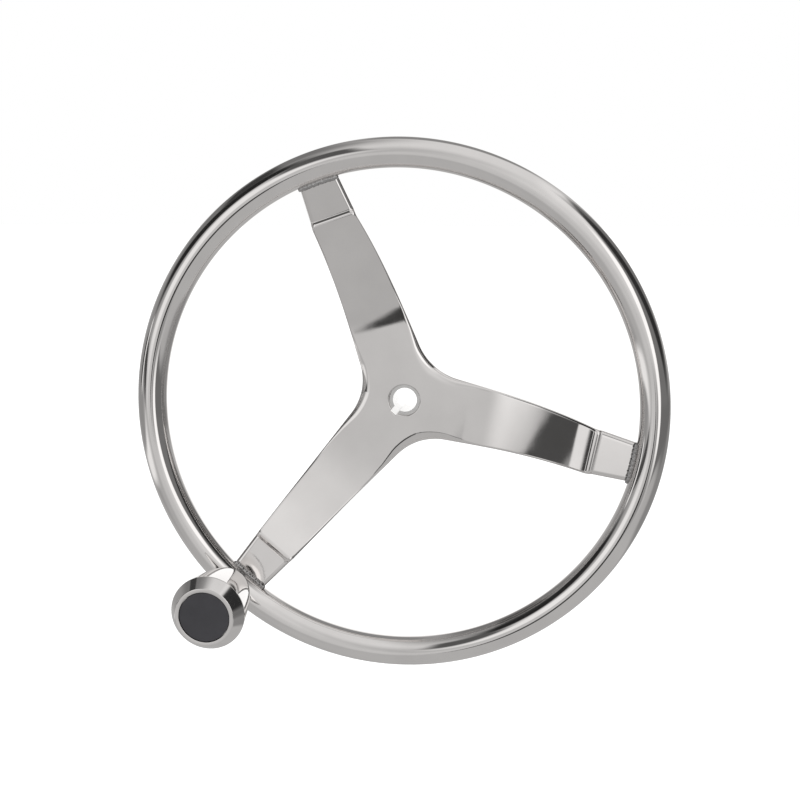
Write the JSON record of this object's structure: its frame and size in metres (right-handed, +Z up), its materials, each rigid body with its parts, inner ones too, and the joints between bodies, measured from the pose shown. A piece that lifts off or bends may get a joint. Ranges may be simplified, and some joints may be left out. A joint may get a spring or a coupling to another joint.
{
  "type": "boat steering wheel",
  "caption": "Mirror-polished boat steering wheel with a dished spoked spider, a keyed taper bore for the helm shaft and a control knob that spins freely beside the rim.",
  "frame": {"origin": "centre of the hub's rear face, at the large end of the taper bore", "axes": "+Y runs along the helm shaft towards the dash, the driver is on the -Y side, +X is the driver's right, +Z is up"},
  "size_m": [0.343, 0.1455, 0.343],
  "materials": {
    "polished_steel": "mirror-polished stainless steel with faint buffing lines",
    "turned_steel": "turned and satin-finished stainless steel",
    "spring_steel": "plain stainless fastener finish",
    "white_nylon": "natural machined nylon",
    "black_nylon": "moulded black nylon",
    "satin_black": "fine-textured satin black plastic"
  },
  "bodies": {
    "wheel": {"rim_tube": "polished_steel", "rim_seam_weld": "polished_steel", "spoke_spider": "polished_steel", "hub_boss": "turned_steel", "hub_weld": "turned_steel", "rim_weld_top": "polished_steel", "rim_weld_right": "polished_steel", "rim_weld_left": "polished_steel", "knob_stud": "polished_steel", "stud_weld": "polished_steel", "thrust_washer": "white_nylon", "wave_washer": "spring_steel", "retaining_washer": "spring_steel", "retaining_screw": "spring_steel"},
    "knob": {"lower_bush": "white_nylon", "upper_bush": "white_nylon", "knob_core": "black_nylon", "knob_bell": "polished_steel", "knob_bezel": "polished_steel", "knob_insert": "satin_black"}
  },
  "joints": [
    {"name": "knob_spin", "type": "hinge", "parent": "wheel", "child": "knob", "pos_m": [-0.10857, -0.12, -0.11684], "axis": [0, -1, 0], "continuous": true}
  ]
}
